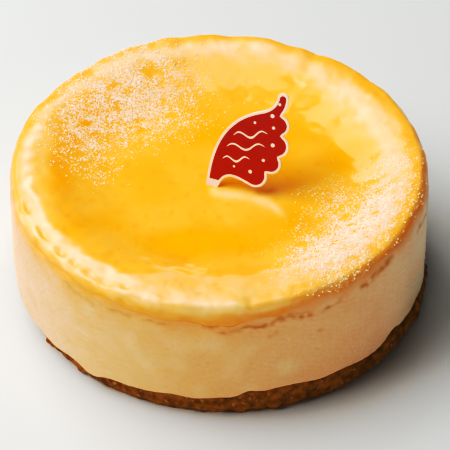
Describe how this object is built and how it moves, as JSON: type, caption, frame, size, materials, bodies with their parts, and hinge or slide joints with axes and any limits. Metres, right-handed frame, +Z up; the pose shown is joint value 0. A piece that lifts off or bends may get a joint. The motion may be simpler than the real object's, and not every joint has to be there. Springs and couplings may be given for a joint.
{
  "type": "cheesecake",
  "caption": "Whole round baked cheesecake with a raised, dimpled rim round a shallow glazed dish, on a pressed biscuit base, with a scalloped card pick standing in its top.",
  "frame": {"origin": "centre of the biscuit base's flat underside, on the cake's upright axis", "axes": "+Z up along the cake's axis; -Y to the front, where the shown side faces; +X to the right seen from the front"},
  "size_m": [0.1515, 0.1507, 0.0822],
  "materials": {
    "cream": "soft, moist baked cream cheese, with a glossy yellow-orange glaze on top",
    "biscuit": "rough pressed biscuit crumb",
    "red_card": "satin printed card with a cream border"
  },
  "bodies": {
    "root": {"filling": "cream", "base": "biscuit", "pick": "red_card"}
  },
  "joints": []
}
